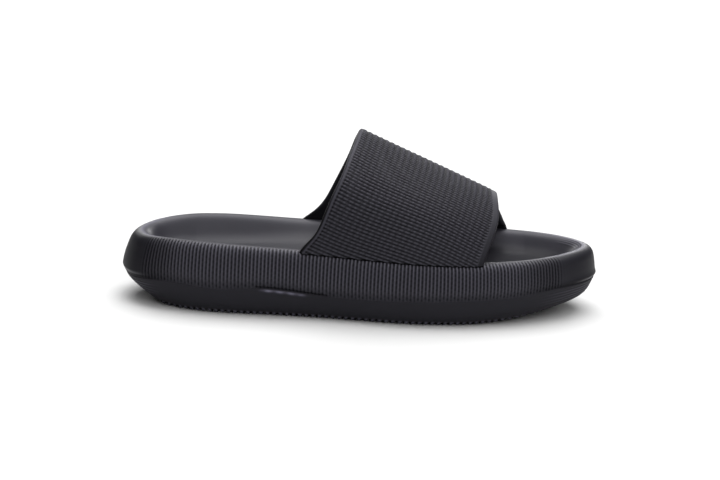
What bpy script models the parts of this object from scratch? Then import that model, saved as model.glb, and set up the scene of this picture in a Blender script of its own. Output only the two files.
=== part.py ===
"""Ribbed slide sandal for the right foot, moulded in soft foam.

Three pieces: a tread outsole, a ribbed midsole with a cupped footbed, and a wide strap
that arches over the instep. Metres, +Z up, +X towards the toes, and the little-toe
side at -Y. The origin is on the ground under the middle of the sole.
"""

import math
from collections import namedtuple

import bpy
import numpy as np
from mathutils import Vector
from mathutils.geometry import delaunay_2d_cdt

# Driving sizes of the sole
SOLE_LENGTH = 0.275
BALL_WIDTH = 0.106
SEAM_HEIGHT = 0.0165
RIM_HEIGHT = 0.0398
BED_HEIGHT = 0.0265
ARCH_RISE = 0.004
TOE_SPRING = 0.0068
HEEL_LIFT = 0.005
PIECE_GAP = 0.0003

# Shape of the tread's ends and of the raised inner arch, as shares of length and width
HEEL_LIFT_END = 0.09
HEEL_CURL = 2.0
TOE_CURL = 1.5
ARCH_MIDDLE = 0.40
ARCH_SPREAD = 0.13
ARCH_HALF_WIDTH = 0.36
ARCH_START = 0.1

# Ribs moulded up the side wall of the midsole
RIB_PITCH = 0.0021
RIB_DEPTH = 0.0006

# Wavy grooves across the tread
GROOVE_PITCH = 0.0042
GROOVE_WIDTH = 0.0016
GROOVE_DEPTH = 0.0012
GROOVE_WAVE = 0.0014
GROOVE_REACH = 0.6

# Driving sizes of the strap
STRAP_HEIGHT = 0.1028
STRAP_FRONT_HEIGHT = 0.0668
STRAP_WALL = 0.0050
STRAP_EDGE_ROUND = 0.0030
RIDGE_OFFSET = 0.0030

# Widest line of the sole in plan: shares of the length from the heel and of the ball
# width from the middle, little-toe side negative, once round from the heel's back
OutlineRow = namedtuple("OutlineRow", "along across")
OUTLINE = [
    OutlineRow(0.000, 0.000),
    OutlineRow(0.012, -0.140),
    OutlineRow(0.055, -0.278),
    OutlineRow(0.200, -0.405),
    OutlineRow(0.400, -0.435),
    OutlineRow(0.630, -0.500),
    OutlineRow(0.820, -0.402),
    OutlineRow(0.945, -0.200),
    OutlineRow(1.000, 0.045),
    OutlineRow(0.960, 0.265),
    OutlineRow(0.850, 0.435),
    OutlineRow(0.690, 0.500),
    OutlineRow(0.420, 0.412),
    OutlineRow(0.200, 0.405),
    OutlineRow(0.055, 0.278),
    OutlineRow(0.012, 0.140),
]

# Heights along the sole, as shares of the named heights
HeightRow = namedtuple("HeightRow", "along rim seam bed")
HEIGHTS = [
    HeightRow(0.00, 0.98, 0.92, 1.08),
    HeightRow(0.11, 1.03, 1.05, 1.02),
    HeightRow(0.20, 1.03, 0.95, 1.01),
    HeightRow(0.30, 1.01, 1.05, 1.01),
    HeightRow(0.44, 0.98, 0.88, 1.00),
    HeightRow(0.58, 0.95, 0.90, 0.98),
    HeightRow(0.72, 0.92, 0.97, 0.96),
    HeightRow(0.82, 0.92, 1.03, 0.97),
    HeightRow(0.90, 0.93, 1.18, 1.00),
    HeightRow(1.00, 0.95, 1.24, 1.10),
]

# The wall in section, from the tread's edge up to the rim. A level is a share of the
# height below the seam, or above it; an inset is in metres inside the widest line
WallRow = namedtuple("WallRow", "name above share side heel toe")
WALL = [
    WallRow("tread", False, 0.00, 0.0085, 0.0150, 0.0135),
    WallRow("flank_low", False, 0.20, 0.0046, 0.0100, 0.0066),
    WallRow("flank_high", False, 0.55, 0.0020, 0.0050, 0.0026),
    WallRow("seam", False, 1.00, 0.0008, 0.0020, 0.0006),
    WallRow("rib_foot", True, 0.00, 0.0008, 0.0020, 0.0006),
    WallRow("widest", True, 0.30, 0.0000, 0.0000, 0.0000),
    WallRow("upper", True, 0.66, 0.0010, 0.0012, 0.0008),
    WallRow("rib_head", True, 0.92, 0.0034, 0.0038, 0.0030),
    WallRow("rim", True, 1.00, 0.0078, 0.0088, 0.0072),
]
HEEL_ZONE = 0.16
TOE_ZONE = 0.72

# The cup from the rim's top down to the footbed: distance in from the rim, share of depth
CupRow = namedtuple("CupRow", "inward drop")
CUP = [
    CupRow(0.0025, 0.07),
    CupRow(0.0055, 0.33),
    CupRow(0.0090, 0.70),
    CupRow(0.0130, 0.91),
    CupRow(0.0180, 1.00),
]

# Where the ribs run, as shares of the length, and how many fade in at each end
RIBS_FROM, RIBS_TO, RIBS_FADING = 0.040, 0.930, 4

# Where the strap stands, as shares of the length: its feet on the rim and its ridge
StrapRow = namedtuple("StrapRow", "share lateral medial ridge")
STRAP_FEET = [
    StrapRow(0.0, 0.374, 0.372, 0.490),
    StrapRow(1.0, 0.759, 0.823, 0.787),
]

# The strap's arch from foot to ridge, as shares of the way: height, half width at the
# rear and front edges, and how far each edge has come towards the ridge along the sole
ArchRow = namedtuple("ArchRow", "height rear front lateral medial ahead")
ARCH = [
    ArchRow(0.00, 1.000, 1.000, 0.00, 0.00, 0.00),
    ArchRow(0.07, 1.004, 0.984, 0.10, 0.16, 0.07),
    ArchRow(0.16, 1.012, 0.955, 0.24, 0.33, 0.17),
    ArchRow(0.36, 1.012, 0.865, 0.42, 0.55, 0.46),
    ArchRow(0.54, 0.965, 0.755, 0.56, 0.71, 0.74),
    ArchRow(0.70, 0.825, 0.625, 0.71, 0.83, 0.95),
    ArchRow(0.84, 0.590, 0.465, 0.83, 0.91, 1.03),
    ArchRow(0.95, 0.295, 0.265, 0.94, 0.98, 1.01),
]

# How the strap's edges are rounded: how far a row lies into the rounding, and the share
# of the wall that is drawn in at the edge itself and at that row
ROUNDING_ROW = 0.3
DRAWN_IN_AT_EDGE = 0.36
DRAWN_IN_AT_ROW = 0.14

# How finely the solids are faceted, and the angle past which an edge stays sharp
SHARP_ANGLE = 40.0
HEEL_COLUMNS = 9
TOE_COLUMNS = 15
OUTSOLE_COLUMNS = 110
CUP_COLUMNS = 92
BED_GRID = 0.014
SEAM_GRID = 0.012
STRAP_COLUMNS = 36
STRAP_ROWS = 9
SEAT_COLUMNS = 3
GROOVE_STEPS = 4


def smooth(value):
    """Eases 0..1 to 0..1, flat at both ends."""
    value = min(1.0, max(0.0, value))
    return value * value * (3.0 - 2.0 * value)


def spline(points, closed):
    """A cubic spline through points, smooth in bend, as a function of 0..1."""
    points = np.array(points, float)
    if closed:
        points = np.vstack([points, points[:1]])
    step = np.linalg.norm(np.diff(points, axis=0), axis=1)
    knot = np.concatenate([[0.0], np.cumsum(step)])
    count = len(points)
    matrix, right = np.zeros((count, count)), np.zeros((count, points.shape[1]))
    slope = np.diff(points, axis=0) / step[:, None]
    for i in range(1, count - 1):
        matrix[i, i - 1] = step[i - 1]
        matrix[i, i] = 2.0 * (step[i - 1] + step[i])
        matrix[i, i + 1] = step[i]
        right[i] = 6.0 * (slope[i] - slope[i - 1])
    if closed:
        matrix[0, 0], matrix[0, -1] = 1.0, -1.0
        matrix[-1, 0], matrix[-1, 1] = 2.0 * step[0], step[0]
        matrix[-1, -2], matrix[-1, -1] = step[-1], 2.0 * step[-1]
        right[-1] = 6.0 * (slope[0] - slope[-1])
    else:
        matrix[0, 0] = matrix[-1, -1] = 1.0
    bend = np.linalg.solve(matrix, right)

    def at(share):
        along = np.clip(np.asarray(share, float), 0.0, 1.0) * knot[-1]
        i = np.clip(np.searchsorted(knot, along, side="right") - 1, 0, count - 2)
        a, b = (knot[i + 1] - along) / step[i], (along - knot[i]) / step[i]
        a, b, gap = a[..., None], b[..., None], step[i][..., None]
        curved = ((a**3 - a) * bend[i] + (b**3 - b) * bend[i + 1]) * gap**2 / 6.0
        return a * points[i] + b * points[i + 1] + curved

    return at


def even(points, count):
    """The polyline's points spaced evenly along it."""
    along = np.concatenate([[0.0], np.cumsum(np.linalg.norm(np.diff(points, axis=0), axis=1))])
    wanted = np.linspace(0.0, along[-1], count)
    return np.column_stack([np.interp(wanted, along, points[:, k]) for k in range(points.shape[1])])


def column(table, name, along):
    """A table's column at a share of the length, on a smooth curve through its rows."""
    rows = [(row.along, getattr(row, name)) for row in table]
    share = np.interp(along, [r[0] for r in rows], np.linspace(0.0, 1.0, len(rows)))
    place = min(len(rows) - 2, int(share * (len(rows) - 1)))
    (x0, y0), (x1, y1) = rows[place], rows[place + 1]
    before, after = rows[max(0, place - 1)], rows[min(len(rows) - 1, place + 2)]
    lean0 = (y1 - before[1]) / (x1 - before[0])
    lean1 = (after[1] - y0) / (after[0] - x0)
    t, wide = (along - x0) / (x1 - x0), x1 - x0
    return (
        (2 * t**3 - 3 * t**2 + 1) * y0
        + (t**3 - 2 * t**2 + t) * wide * lean0
        + (3 * t**2 - 2 * t**3) * y1
        + (t**3 - t**2) * wide * lean1
    )


def sole_outline(samples=3000):
    """The widest line as an even polyline from the heel's back round the little-toe side."""
    curve = spline([(row.along, row.across) for row in OUTLINE], closed=True)
    points = curve(np.linspace(0.0, 1.0, samples))
    low, high = points.min(0), points.max(0)
    points = (points - (low + high) / 2) / (high - low) * (SOLE_LENGTH, BALL_WIDTH)
    start = int(points[:, 0].argmin())
    points = np.vstack([points[start:-1], points[: start + 1]])
    return even(points, samples)


LINE = sole_outline()
REACH = np.concatenate([[0.0], np.cumsum(np.linalg.norm(np.diff(LINE, axis=0), axis=1))])
GIRTH = REACH[-1]
TOE_INDEX = int(LINE[:, 0].argmax())


def on_outline(reach):
    """The widest line's point and inward normal at a distance round from the heel's back."""
    reach = reach % GIRTH
    step = GIRTH / len(LINE)
    here = np.array([np.interp(reach, REACH, LINE[:, k]) for k in (0, 1)])
    ahead = np.array([np.interp((reach + step) % GIRTH, REACH, LINE[:, k]) for k in (0, 1)])
    behind = np.array([np.interp((reach - step) % GIRTH, REACH, LINE[:, k]) for k in (0, 1)])
    way = (ahead - behind) / np.linalg.norm(ahead - behind)
    return here, np.array([-way[1], way[0]])


def reach_at(along, lateral):
    """The distance round the widest line at a share of the length, on one side."""
    x = (along - 0.5) * SOLE_LENGTH
    if lateral:
        return float(np.interp(x, LINE[: TOE_INDEX + 1, 0], REACH[: TOE_INDEX + 1]))
    return float(np.interp(-x, -LINE[TOE_INDEX:, 0], REACH[TOE_INDEX:]))


def along_of(x):
    """A place along the sole as a share of its length."""
    return min(1.0, max(0.0, x / SOLE_LENGTH + 0.5))


def ground(along):
    """Height of the tread: flat, with the toe sprung and the heel's back lifted."""
    toe = max(0.0, (along - TOE_ZONE) / (1.0 - TOE_ZONE))
    heel = max(0.0, 1.0 - along / HEEL_LIFT_END)
    return TOE_SPRING * toe**TOE_CURL + HEEL_LIFT * heel**HEEL_CURL


def rim_top(along):
    return RIM_HEIGHT * column(HEIGHTS, "rim", along)


def seam_line(along):
    return SEAM_HEIGHT * column(HEIGHTS, "seam", along)


def footbed(x, y):
    """Height of the footbed under the foot, with the inner arch raised."""
    along = along_of(x)
    hill = math.exp(-(((along - ARCH_MIDDLE) / ARCH_SPREAD) ** 2))
    inner = smooth(y / (ARCH_HALF_WIDTH * BALL_WIDTH) + ARCH_START)
    return BED_HEIGHT * column(HEIGHTS, "bed", along) + ARCH_RISE * hill * inner


def wall_inset(row, along):
    """How far a wall level lies inside the widest line, at a share of the length."""
    heel = smooth(1.0 - along / HEEL_ZONE)
    toe = smooth((along - TOE_ZONE) / (1.0 - TOE_ZONE))
    return row.side + (row.heel - row.side) * heel + (row.toe - row.side) * toe


def wall_height(row, along):
    if row.above:
        return seam_line(along) + row.share * (rim_top(along) - seam_line(along))
    return ground(along) + row.share * (seam_line(along) - ground(along))


def wall_point(row, reach, deeper=0.0, lift=0.0):
    """A point of the wall: a level, at a distance round the sole."""
    here, inward = on_outline(reach)
    along = along_of(here[0])
    spot = here + inward * (wall_inset(row, along) + deeper)
    return (spot[0], spot[1], wall_height(row, along) + lift)


def cup_point(row, reach):
    """A point of the cup inside the rim."""
    here, inward = on_outline(reach)
    along = along_of(here[0])
    spot = here + inward * (wall_inset(WALL[-1], along) + row.inward)
    top = rim_top(along)
    return (spot[0], spot[1], top - row.drop * (top - footbed(*spot)))


def new_object(name, vertices, faces, material):
    mesh = bpy.data.meshes.new(name)
    mesh.from_pydata([tuple(v) for v in vertices], [], faces)
    mesh.validate()
    body = bpy.data.objects.new(name, mesh)
    bpy.context.scene.collection.objects.link(body)
    mesh.materials.append(material)
    mesh.shade_smooth()
    mesh.set_sharp_from_angle(angle=math.radians(SHARP_ANGLE))
    return body


def foam(name, shade, roughness):
    """Soft moulded foam."""
    material = bpy.data.materials.new(name)
    material.use_nodes = True
    surface = material.node_tree.nodes["Principled BSDF"]
    surface.inputs["Base Color"].default_value = (*shade, 1.0)
    surface.inputs["Roughness"].default_value = roughness
    surface.inputs["Metallic"].default_value = 0.0
    return material


def is_inside(loop, spot):
    """Whether a plan point lies inside a closed loop."""
    ahead = np.roll(loop, -1, axis=0)
    crosses = (loop[:, 1] > spot[1]) != (ahead[:, 1] > spot[1])
    rise = np.where(ahead[:, 1] == loop[:, 1], 1.0, ahead[:, 1] - loop[:, 1])
    at_x = loop[:, 0] + (spot[1] - loop[:, 1]) * (ahead[:, 0] - loop[:, 0]) / rise
    return np.count_nonzero(crosses & (spot[0] < at_x)) % 2 == 1


def inner_points(loop, spacing, clearance):
    """A staggered grid of plan points that stay clear of a loop's inside."""
    loop = np.array(loop)[:, :2]
    low, high = loop.min(0), loop.max(0)
    found = []
    for i in range(math.floor(low[0] / spacing), math.ceil(high[0] / spacing) + 1):
        for j in range(math.floor(low[1] / spacing) - 1, math.ceil(high[1] / spacing) + 1):
            spot = np.array([i * spacing, (j + 0.5 * (i % 2)) * spacing])
            if is_inside(loop, spot) and np.hypot(*(loop - spot).T).min() > clearance:
                found.append(spot)
    return found


def skin(loop, inner, upward):
    """Triangles that span a closed loop, through the points inside it, by index."""
    flat = [Vector(p[:2]) for p in [*loop, *inner]]
    border = np.array(loop)[:, :2]
    result = delaunay_2d_cdt(flat, [], [list(range(len(loop)))], 1, 1e-9, True)
    original = [ids[0] for ids in result[3]]
    faces = []
    for face in result[2]:
        a, b, c = (original[k] for k in face)
        if max(a, b, c) < len(loop) and not is_inside(border, (flat[a] + flat[b] + flat[c]) / 3):
            continue
        turn = (flat[b] - flat[a]).cross(flat[c] - flat[a])
        faces.append((a, b, c) if (turn > 0) == upward else (a, c, b))
    return faces


def stack(rings):
    """Quads that join rings of equal length, lowest ring first, facing outwards."""
    size = len(rings[0])
    faces = []
    for level in range(len(rings) - 1):
        for i in range(size):
            j = (i + 1) % size
            low, high = level * size, (level + 1) * size
            faces.append((low + i, low + j, high + j, high + i))
    return faces


def closed_body(name, rings, floor, ceiling, material):
    """A solid between rings, closed by a skin through floor points and one through ceiling."""
    vertices = [p for ring in rings for p in ring]
    faces = stack(rings)
    size, top = len(rings[0]), (len(rings) - 1) * len(rings[0])
    for ring, points, start, upward in ((rings[0], floor, 0, False), (rings[-1], ceiling, top, True)):
        extra = len(vertices)
        vertices += points
        for face in skin(ring, points, upward):
            faces.append(tuple(start + k if k < size else extra + k - size for k in face))
    return new_object(name, vertices, faces, material)


def rib_columns():
    """Distances round the sole for the midsole's columns, each with its share of rib depth."""
    marks = []
    for lateral in (True, False):
        ends = [reach_at(RIBS_FROM, lateral), reach_at(RIBS_TO, lateral)]
        ends.sort()
        count = 2 * round((ends[1] - ends[0]) / RIB_PITCH)
        for i in range(count + 1):
            fade = smooth(min(i, count - i) / (2 * RIBS_FADING))
            marks.append((ends[0] + (ends[1] - ends[0]) * i / count, fade * (i % 2)))
        if lateral:
            gap = reach_at(RIBS_TO, False) - ends[1]
            marks += [(ends[1] + gap * k / TOE_COLUMNS, 0.0) for k in range(1, TOE_COLUMNS)]
        else:
            gap = GIRTH + reach_at(RIBS_FROM, True) - ends[1]
            marks += [(ends[1] + gap * k / HEEL_COLUMNS, 0.0) for k in range(1, HEEL_COLUMNS)]
    return marks


def make_midsole(material):
    """The foam body: ribbed wall, rounded rim and cupped footbed."""
    columns = rib_columns()
    rings = []
    for row in [row for row in WALL if row.above]:
        ribbed = RIB_DEPTH if row.name != "rim" else 0.0
        lift = PIECE_GAP / 2 if row.name == "rib_foot" else 0.0
        rings.append([wall_point(row, reach, ribbed * rib, lift) for reach, rib in columns])
    ceiling = []
    for row in CUP:
        ceiling += [cup_point(row, GIRTH * k / CUP_COLUMNS) for k in range(CUP_COLUMNS)]
    last = ceiling[-CUP_COLUMNS:]
    ceiling += [(*spot, footbed(*spot)) for spot in inner_points(last, BED_GRID, BED_GRID / 2)]
    floor = [
        (*spot, seam_line(along_of(spot[0])) + PIECE_GAP / 2)
        for spot in inner_points(rings[0], SEAM_GRID, SEAM_GRID / 3)
    ]
    return closed_body("midsole", rings, floor, ceiling, material)


def groove_cutter(tread):
    """Wavy prisms across the tread, one for each groove, as a wire guide."""
    half, reach = GROOVE_WIDTH / 2, GROOVE_REACH * BALL_WIDTH
    count = int(SOLE_LENGTH / GROOVE_PITCH / 2)
    vertices, faces = [], []
    for k in range(-count, count + 1):
        middle = k * GROOVE_PITCH
        roof = ground(along_of(middle)) + GROOVE_DEPTH
        start = len(vertices)
        for step in range(GROOVE_STEPS + 1):
            across = -reach + 2 * reach * step / GROOVE_STEPS
            sway = GROOVE_WAVE * math.cos(math.pi * step)
            for side, height in ((-half, -SEAM_HEIGHT), (half, -SEAM_HEIGHT), (half, roof), (-half, roof)):
                vertices.append((middle + sway + side, across, height))
        for step in range(GROOVE_STEPS):
            for corner in range(4):
                a, b = start + 4 * step + corner, start + 4 * step + (corner + 1) % 4
                faces.append((a, a + 4, b + 4, b))
        end = start + 4 * GROOVE_STEPS
        faces += [(start, start + 1, start + 2, start + 3), (end + 3, end + 2, end + 1, end)]
    cutter = new_object("tread_grooves", vertices, faces, tread.data.materials[0])
    cutter.hide_render = True
    cutter.display_type = "WIRE"
    cut = tread.modifiers.new("Grooves", "BOOLEAN")
    cut.operation, cut.solver, cut.object = "DIFFERENCE", "EXACT", cutter


def make_outsole(material):
    """The tread unit below the seam, with its flank rolled in to the ground."""
    reaches = [GIRTH * k / OUTSOLE_COLUMNS for k in range(OUTSOLE_COLUMNS)]
    rings = []
    for row in [row for row in WALL if not row.above]:
        lift = -PIECE_GAP / 2 if row.name == "seam" else 0.0
        rings.append([wall_point(row, reach, 0.0, lift) for reach in reaches])
    floor = [
        (*spot, ground(along_of(spot[0])))
        for spot in inner_points(rings[0], SEAM_GRID, SEAM_GRID / 3)
    ]
    ceiling = [
        (*spot, seam_line(along_of(spot[0])) - PIECE_GAP / 2)
        for spot in inner_points(rings[-1], SEAM_GRID, SEAM_GRID / 3)
    ]
    outsole = closed_body("outsole", rings, floor, ceiling, material)
    groove_cutter(outsole)
    return outsole


def strap_foot(share, lateral, through):
    """A point of the strap's foot on the rim: its side's edge at 0, its inner edge at 1."""
    side = "lateral" if lateral else "medial"
    rear, front = (getattr(row, side) for row in STRAP_FEET)
    reach = reach_at(rear + (front - rear) * share, lateral)
    outer, inner = (np.array(wall_point(row, reach, 0.0, PIECE_GAP)) for row in WALL[-2:])
    return outer + (inner - outer) * through


def strap_section(share):
    """The strap's outer arch at a share of the way from its rear edge to its front edge."""
    rear, front = STRAP_FEET
    ridge_along = rear.ridge + (front.ridge - rear.ridge) * share
    ridge_height = STRAP_HEIGHT + (STRAP_FRONT_HEIGHT - STRAP_HEIGHT) * share
    ridge = np.array([(ridge_along - 0.5) * SOLE_LENGTH, RIDGE_OFFSET, ridge_height])
    halves = []
    for lateral in (True, False):
        foot = strap_foot(share, lateral, 0.0)
        half = []
        for row in ARCH:
            wide = row.rear + (row.front - row.rear) * share
            lead = row.lateral if lateral else row.medial
            ahead = lead + (row.ahead - lead) * share
            x = foot[0] + (ridge[0] - foot[0]) * ahead
            y = ridge[1] + (foot[1] - ridge[1]) * wide
            half.append((x, y, foot[2] + (ridge[2] - foot[2]) * row.height))
        halves.append(half)
    points = [*halves[0], tuple(ridge), *reversed(halves[1])]
    return even(spline(points, closed=False)(np.linspace(0.0, 1.0, 400)), STRAP_COLUMNS + 1)


def make_strap(material):
    """One hollow arch of foam, open at the heel and toe sides, its feet on the rim."""
    length = (STRAP_FEET[1].ridge - STRAP_FEET[0].ridge) * SOLE_LENGTH
    near = STRAP_EDGE_ROUND / length
    middle = [near + (1 - 2 * near) * k / STRAP_ROWS for k in range(STRAP_ROWS + 1)]
    shares = [0.0, near * ROUNDING_ROW, *middle, 1 - near * ROUNDING_ROW, 1.0]
    ends = [DRAWN_IN_AT_EDGE, DRAWN_IN_AT_ROW]
    squeezes = [*ends, *[0.0] * len(middle), *reversed(ends)]
    outer = np.array([strap_section(share) for share in shares])
    normal = np.cross(np.gradient(outer, axis=0), np.gradient(outer, axis=1))
    normal /= np.linalg.norm(normal, axis=2)[..., None]
    if normal[len(shares) // 2, STRAP_COLUMNS // 2, 2] < 0:
        normal = -normal
    sheets = []
    for through in (0.0, 1.0):
        sheet = outer.copy()
        for i, (share, squeeze) in enumerate(zip(shares, squeezes)):
            depth = squeeze + (1 - 2 * squeeze) * through
            for j in range(STRAP_COLUMNS + 1):
                lateral = j < STRAP_COLUMNS / 2
                seat = strap_foot(share, lateral, 1.0) - strap_foot(share, lateral, 0.0)
                free = smooth(min(j, STRAP_COLUMNS - j) / SEAT_COLUMNS)
                sheet[i, j] += (seat * (1 - free) - normal[i, j] * STRAP_WALL * free) * depth
        sheets.append(sheet)
    rows, columns = outer.shape[:2]
    border = [(0, j) for j in range(columns - 1)]
    border += [(i, columns - 1) for i in range(rows - 1)]
    border += [(rows - 1, j) for j in range(columns - 1, 0, -1)]
    border += [(i, 0) for i in range(rows - 1, 0, -1)]

    def at(i, j, sheet=0):
        return sheet * rows * columns + i * columns + j

    faces = []
    for i in range(rows - 1):
        for j in range(columns - 1):
            face = [(i, j), (i + 1, j), (i + 1, j + 1), (i, j + 1)]
            faces.append([at(*spot) for spot in face])
            faces.append([at(*spot, 1) for spot in reversed(face)])
    for here, ahead in zip(border, [*border[1:], border[0]]):
        faces.append([at(*here), at(*ahead), at(*ahead, 1), at(*here, 1)])
    return new_object("strap", np.array(sheets).reshape(-1, 3), faces, material)


def main():
    for old in list(bpy.data.objects):
        bpy.data.objects.remove(old, do_unlink=True)
    make_outsole(foam("outsole_foam", (0.020, 0.020, 0.023), 0.62))
    make_midsole(foam("midsole_foam", (0.032, 0.032, 0.036), 0.55))
    make_strap(foam("strap_foam", (0.034, 0.034, 0.038), 0.55))


main()
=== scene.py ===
import math
from collections import namedtuple

import bpy
import numpy as np
from mathutils import Matrix, Vector


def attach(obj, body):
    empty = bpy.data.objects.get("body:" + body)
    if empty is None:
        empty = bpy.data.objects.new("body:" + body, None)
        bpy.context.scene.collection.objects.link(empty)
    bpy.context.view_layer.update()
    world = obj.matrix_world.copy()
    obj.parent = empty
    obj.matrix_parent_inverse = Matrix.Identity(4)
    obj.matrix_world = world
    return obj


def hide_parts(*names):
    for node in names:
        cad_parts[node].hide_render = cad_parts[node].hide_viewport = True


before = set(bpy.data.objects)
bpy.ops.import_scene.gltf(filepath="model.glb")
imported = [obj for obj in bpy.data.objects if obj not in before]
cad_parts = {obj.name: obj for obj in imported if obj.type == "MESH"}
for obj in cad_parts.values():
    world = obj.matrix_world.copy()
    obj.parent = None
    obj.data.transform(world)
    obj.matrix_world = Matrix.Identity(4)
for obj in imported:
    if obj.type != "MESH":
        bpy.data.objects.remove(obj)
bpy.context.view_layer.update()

# Outsole
# The tread unit, pressed from dense foam rubber and bonded under the body. Its flank rolls in
# to the ground, with fine moulded steps round the heel and the toe. Shallow wavy grooves cross
# the tread and cut its edge into a row of small teeth.
SOLE_LENGTH = 0.275
BALL_WIDTH = 0.106
SEAM_HEIGHT = 0.0165
RIM_HEIGHT = 0.0398
TOE_SPRING = 0.0068
HEEL_LIFT, HEEL_LIFT_SHARE = 0.005, 0.09
HEEL_ZONE = 0.16
TOE_ZONE = 0.72
SPINE_INSET = 0.040

# The widest line in plan: shares of the length from the heel and of the ball width
OUTLINE = [
    (0.000, 0.000), (0.012, -0.140), (0.055, -0.278), (0.200, -0.405), (0.400, -0.435),
    (0.630, -0.500), (0.820, -0.402), (0.945, -0.200), (1.000, 0.045), (0.960, 0.265),
    (0.850, 0.435), (0.690, 0.500), (0.420, 0.412), (0.200, 0.405), (0.055, 0.278),
    (0.012, 0.140),
]
LINE_POINTS = 3000

# Factors on the rim's, the seam's and the bed's height, at shares of the length
HeightRow = namedtuple("HeightRow", "along rim seam bed")
HEIGHTS = [
    HeightRow(0.00, 0.98, 0.92, 1.08),
    HeightRow(0.11, 1.03, 1.05, 1.02),
    HeightRow(0.20, 1.03, 0.95, 1.01),
    HeightRow(0.30, 1.01, 1.05, 1.01),
    HeightRow(0.44, 0.98, 0.88, 1.00),
    HeightRow(0.58, 0.95, 0.90, 0.98),
    HeightRow(0.72, 0.92, 0.97, 0.96),
    HeightRow(0.82, 0.92, 1.03, 0.97),
    HeightRow(0.90, 0.93, 1.18, 1.00),
    HeightRow(1.00, 0.95, 1.24, 1.10),
]

# The wall's profile: each level's share of the height below or above the seam, and how far it
# lies inside the widest line along the sides, at the heel and at the toe
WallRow = namedtuple("WallRow", "name above share side heel toe")
WALL = [
    WallRow("tread", False, 0.00, 0.0085, 0.0150, 0.0135),
    WallRow("flank_low", False, 0.20, 0.0046, 0.0100, 0.0066),
    WallRow("flank_high", False, 0.55, 0.0020, 0.0045, 0.0026),
    WallRow("seam", False, 1.00, 0.0008, 0.0010, 0.0006),
    WallRow("widest", True, 0.30, 0.0000, 0.0000, 0.0000),
    WallRow("upper", True, 0.66, 0.0010, 0.0022, 0.0008),
    WallRow("rib_head", True, 0.92, 0.0034, 0.0056, 0.0030),
    WallRow("rim", True, 1.00, 0.0078, 0.0102, 0.0072),
]


def eased(value):
    """Runs 0..1 to 0..1, flat at both ends."""
    value = np.clip(value, 0.0, 1.0)
    return value * value * (3.0 - 2.0 * value)


def stripe(measure, middle, spread):
    """1 on a line at the middle, fading to both sides of it."""
    return np.exp(-(((measure - middle) / spread) ** 2))


def spline(values, knots, closed=False):
    """A cubic through rows of values at their knots, as a function of the knot's measure."""
    values, knots = np.asarray(values, float), np.asarray(knots, float)
    count, step = len(knots), np.diff(knots)
    slope = np.diff(values, axis=0) / step[:, None]
    matrix, right = np.zeros((count, count)), np.zeros_like(values)
    for i in range(1, count - 1):
        matrix[i, i - 1 : i + 2] = step[i - 1], 2.0 * (step[i - 1] + step[i]), step[i]
        right[i] = 6.0 * (slope[i] - slope[i - 1])
    if closed:
        matrix[0, 0], matrix[0, -1] = 1.0, -1.0
        matrix[-1, 0], matrix[-1, 1] = 2.0 * step[0], step[0]
        matrix[-1, -2], matrix[-1, -1] = step[-1], 2.0 * step[-1]
        right[-1] = 6.0 * (slope[0] - slope[-1])
    else:
        matrix[0, 0] = matrix[-1, -1] = 1.0
    bend = np.linalg.solve(matrix, right)

    def at(measure):
        measure = np.asarray(measure, float)
        i = np.clip(np.searchsorted(knots, measure, side="right") - 1, 0, count - 2)
        gap = step[i][:, None]
        a, b = (knots[i + 1] - measure)[:, None] / gap, (measure - knots[i])[:, None] / gap
        curve = (a**3 - a) * bend[i] + (b**3 - b) * bend[i + 1]
        return a * values[i] + b * values[i + 1] + curve * gap**2 / 6

    return at


def lengths_along(points):
    """The distance along a polyline to each of its points."""
    return np.concatenate([[0.0], np.cumsum(np.linalg.norm(np.diff(points, axis=0), axis=1))])


def even(points, count):
    """A polyline's points, spaced evenly."""
    along = lengths_along(points)
    wanted = np.linspace(0.0, along[-1], count)
    return np.column_stack([np.interp(wanted, along, points[:, k]) for k in range(points.shape[1])])


def through(table, key, along):
    """A table's column on a smooth curve, at shares of the sole's length."""
    x = np.array([row.along for row in table])
    y = np.array([getattr(row, key) for row in table])
    lean = np.empty(len(x))
    lean[1:-1] = (y[2:] - y[:-2]) / (x[2:] - x[:-2])
    lean[0], lean[-1] = (y[1] - y[0]) / (x[1] - x[0]), (y[-1] - y[-2]) / (x[-1] - x[-2])
    i = np.clip(np.searchsorted(x, along, side="right") - 1, 0, len(x) - 2)
    wide = x[i + 1] - x[i]
    t = (along - x[i]) / wide
    start = (2 * t**3 - 3 * t**2 + 1) * y[i] + (t**3 - 2 * t**2 + t) * wide * lean[i]
    return start + (3 * t**2 - 2 * t**3) * y[i + 1] + (t**3 - t**2) * wide * lean[i + 1]


def widest_line():
    """The widest line as an even polyline from the heel's back round the little-toe side."""
    points = np.array([*OUTLINE, OUTLINE[0]])
    knots = lengths_along(points)
    points = spline(points, knots, closed=True)(np.linspace(0.0, knots[-1], LINE_POINTS))
    low, high = points.min(0), points.max(0)
    points = (points - (low + high) / 2) / (high - low) * (SOLE_LENGTH, BALL_WIDTH)
    start = int(points[:, 0].argmin())
    return even(np.vstack([points[start:-1], points[: start + 1]]), LINE_POINTS)


def typical_height(row):
    """A wall level's height where the seam and the rim have their plain heights."""
    if row.above:
        return row.share * (RIM_HEIGHT - SEAM_HEIGHT) + SEAM_HEIGHT
    return row.share * SEAM_HEIGHT


PROFILE = lengths_along(np.array([(row.side, typical_height(row)) for row in WALL]))
SEAM, CREST = PROFILE[3], PROFILE[-1]
LINE = widest_line()
REACH = lengths_along(LINE)
GIRTH = REACH[-1]
TOE_TIP = int(LINE[:, 0].argmax())


def share_of(x):
    """The share of the sole's length from the heel."""
    return np.clip(x / SOLE_LENGTH + 0.5, 0.0, 1.0)


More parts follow.
